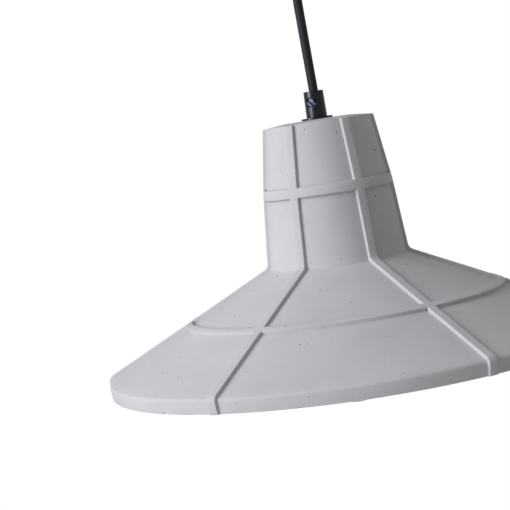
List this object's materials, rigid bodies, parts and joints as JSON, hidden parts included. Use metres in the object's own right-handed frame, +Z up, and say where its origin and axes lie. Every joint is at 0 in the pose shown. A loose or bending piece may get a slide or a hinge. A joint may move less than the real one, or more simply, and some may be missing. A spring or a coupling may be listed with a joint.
{
  "type": "pendant ceiling light",
  "caption": "Cast concrete pendant light: a wide cone with a tapered neck and a raised grid of ribs, hung on a black cord from a ceiling canopy, with a screw-in bulb.",
  "frame": {"origin": "on the ceiling, at the middle of the bracket's two screw slots, on the lamp's axis", "axes": "+Z up along the cord and the lamp's axis, +X along the ceiling bracket and one rib of the shade"},
  "size_m": [0.3616, 0.3564, 0.3646],
  "materials": {
    "cast_concrete": "fine cast concrete, dry and matte, with small air holes",
    "black_metal": "satin black paint on steel",
    "screw_steel": "turned steel, lightly polished",
    "zinc_steel": "bright zinc plate",
    "white_plastic": "moulded, satin",
    "brass": "drawn brass, satin",
    "cord_braid": "round black braid, tightly woven",
    "brown_insulation": "extruded, satin",
    "blue_insulation": "extruded, satin",
    "green_insulation": "extruded, satin, green with a yellow stripe",
    "black_rubber": "moulded, matte",
    "black_plastic": "moulded phenolic, satin",
    "porcelain": "fired, satin",
    "solder": "dull solder",
    "black_glass": "fired black glass, glossy",
    "nickel_brass": "nickel plated brass",
    "clear_glass": "clear blown glass",
    "nickel_wire": "drawn wire"
  },
  "bodies": {
    "ceiling_set": {"ceiling_bracket": "zinc_steel", "canopy_cup": "black_metal", "canopy_side_screws": "black_metal", "canopy_cord_grip": "black_metal", "canopy_grip_screw": "screw_steel", "canopy_grip_nut": "zinc_steel", "terminal_block": "white_plastic", "terminal_tubes": "brass", "terminal_screws": "zinc_steel", "terminal_block_screw": "zinc_steel", "cord_tail": "cord_braid", "ceiling_live_core": "brown_insulation", "ceiling_earth_core": "green_insulation", "ceiling_neutral_core": "blue_insulation"},
    "cord_bush": {"canopy_cord_bush": "black_rubber"},
    "hanging_cord": {"cord": "cord_braid"},
    "lamp": {"lamp_cord_grip": "black_metal", "lamp_grip_screw": "screw_steel", "neck_flange": "black_metal", "concrete_shade": "cast_concrete", "threaded_tube": "zinc_steel", "inner_washer": "zinc_steel", "clamp_nut": "zinc_steel", "lampholder_cap": "black_plastic", "lampholder_insert": "porcelain", "lampholder_shell": "brass", "lampholder_skirt": "black_plastic", "centre_contact": "brass", "side_contact": "brass", "contact_screws": "zinc_steel", "lamp_live_core": "brown_insulation", "lamp_neutral_core": "blue_insulation", "lamp_earth_core": "green_insulation", "earth_tag": "brass", "earth_nut": "zinc_steel"},
    "bulb_end": {"bulb_contact": "solder"},
    "bulb": {"bulb_insulator": "black_glass", "bulb_cap": "nickel_brass", "bulb_glass": "clear_glass", "bulb_stem": "clear_glass", "bulb_leads": "nickel_wire", "bulb_filament": "nickel_wire"}
  },
  "joints": [
    {"name": "swing_front_back", "type": "hinge", "parent": "ceiling_set", "child": "cord_bush", "pos_m": [0, 0, -0.0418], "axis": [1, 0, 0], "range_deg": [-20, 20]},
    {"name": "swing_left_right", "type": "hinge", "parent": "cord_bush", "child": "hanging_cord", "pos_m": [0, 0, -0.0418], "axis": [0, 1, 0], "range_deg": [-20, 20]},
    {"name": "lamp_twist", "type": "hinge", "parent": "hanging_cord", "child": "lamp", "pos_m": [0, 0, -0.136], "axis": [0, 0, 1], "range_deg": [-180, 180]},
    {"name": "bulb_travel", "type": "slide", "parent": "lamp", "child": "bulb_end", "axis": [0, 0, -1], "range_m": [0, 0.0182]},
    {"name": "bulb_turn", "type": "hinge", "parent": "bulb_end", "child": "bulb", "pos_m": [0, 0, -0.2582], "axis": [0, 0, -1], "range_deg": [0, 1800]}
  ],
  "couplings": [
    {"joint": "bulb_travel", "follows": "bulb_turn", "m_per_rad": 0.00057757}
  ]
}
